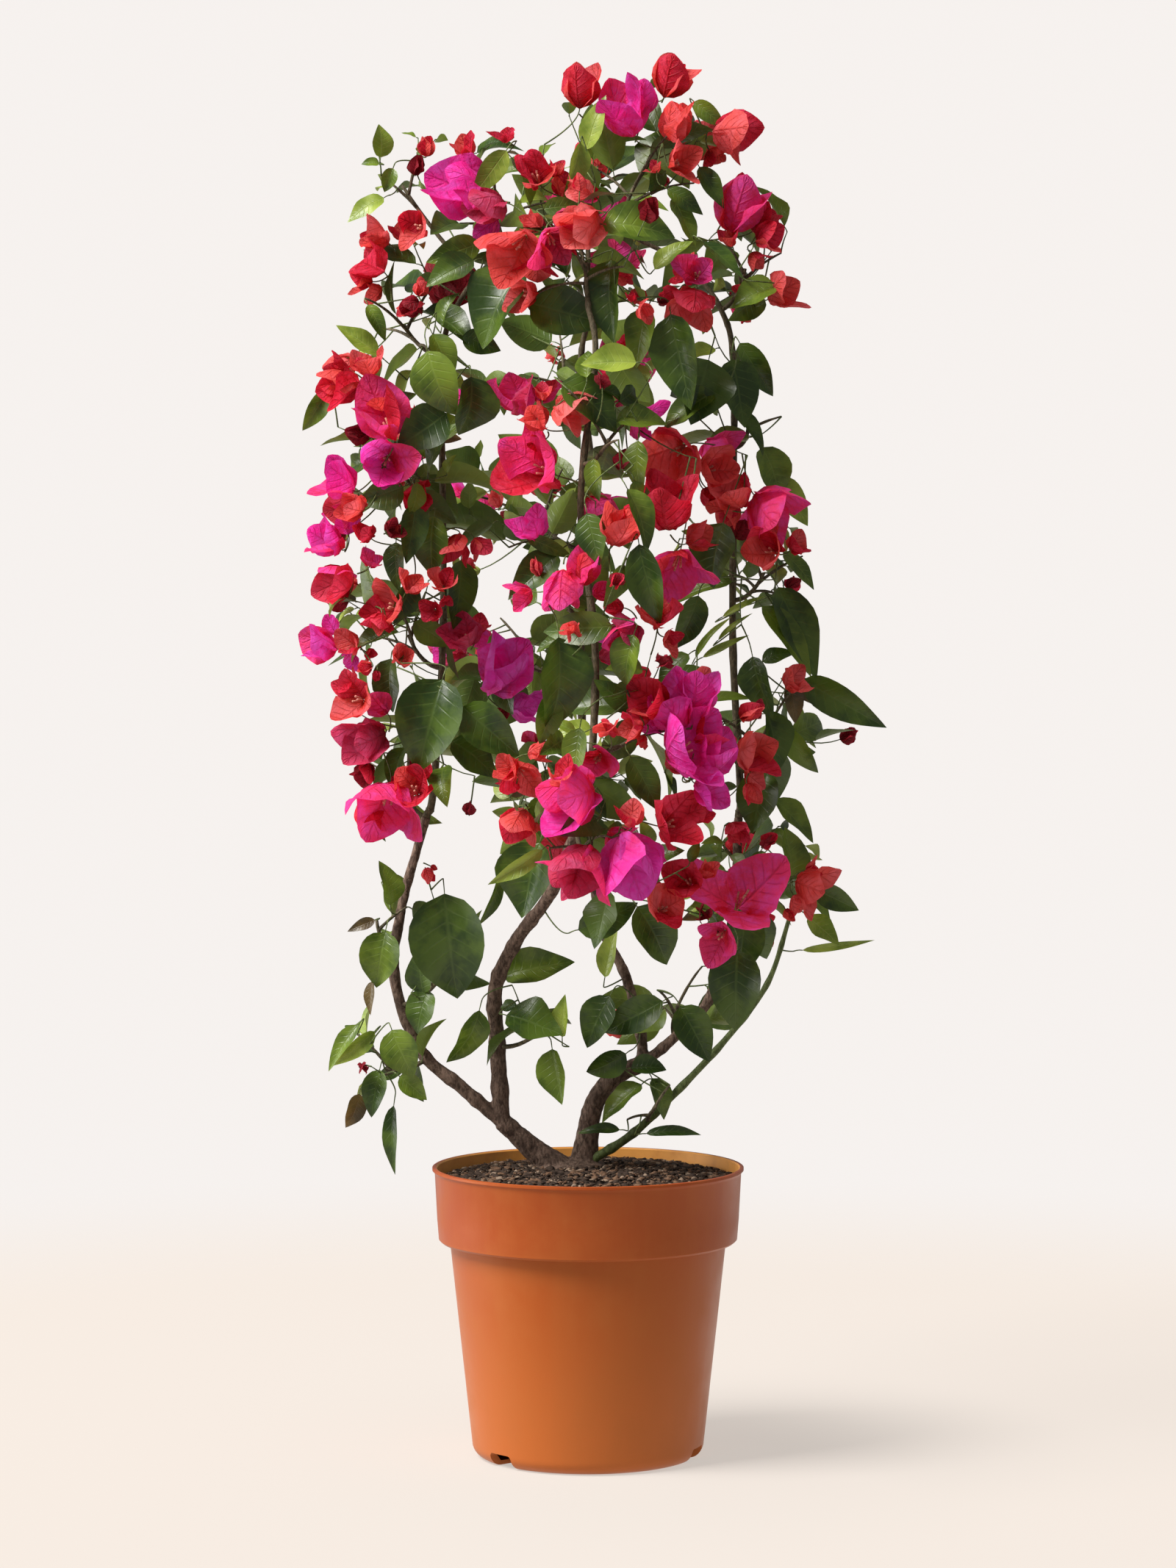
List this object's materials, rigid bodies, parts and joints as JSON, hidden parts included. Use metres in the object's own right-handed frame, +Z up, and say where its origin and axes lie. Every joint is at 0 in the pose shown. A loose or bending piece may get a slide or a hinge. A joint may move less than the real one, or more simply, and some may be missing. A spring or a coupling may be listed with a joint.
{
  "type": "potted bougainvillea bush",
  "caption": "Bougainvillea in a plastic nursery pot: a forked woody trunk, arching climbers and masses of leaves and papery bracts; stands on the pot's flat underside.",
  "frame": {"origin": "centre of the pot's flat underside, which stands on the ground", "axes": "+Z up along the pot's axis, -Y towards the front of the plant, +X to the right seen from the front"},
  "size_m": [0.4095, 0.4039, 0.9862],
  "materials": {
    "pot": "moulded terracotta-coloured plastic, satin, a little lighter on the band",
    "soil": "coarse dark potting compost with bark chips",
    "bark": "brown-grey bark with fine ridges, knots and lighter leaf scars",
    "green_bark": "smooth green young shoot, browner towards its foot",
    "leaf": "leathery green leaves with a paler midrib, satin on top",
    "bract": "papery veined bracts from magenta to coral red among green leaves"
  },
  "bodies": {
    "root": {"pot": "pot", "soil": "soil", "trunk": "bark", "left_leader": "bark", "centre_leader": "bark", "back_leader": "bark", "right_leader": "bark", "green_shoot": "green_bark", "left_climber": "bark", "right_climber": "bark", "front_climber": "bark", "back_climber": "bark", "left_mass_1": "bract", "left_mass_2": "bract", "left_mass_3": "bract", "left_mass_4": "bract", "right_mass_1": "bract", "right_mass_2": "bract", "right_mass_3": "bract", "right_mass_4": "bract", "front_mass_1": "bract", "front_mass_2": "bract", "front_mass_3": "bract", "front_mass_4": "bract", "back_mass_1": "bract", "back_mass_2": "bract", "back_mass_3": "bract", "back_mass_4": "bract", "crown_left": "bract", "crown_right": "bract", "crown_front": "bract", "crown_back": "bract", "crown_edge": "bract", "crown_sprig": "leaf", "left_sprig": "leaf", "left_spray": "leaf", "left_inner": "leaf", "centre_low": "leaf", "right_low": "leaf", "base_sprig": "leaf"}
  },
  "joints": []
}
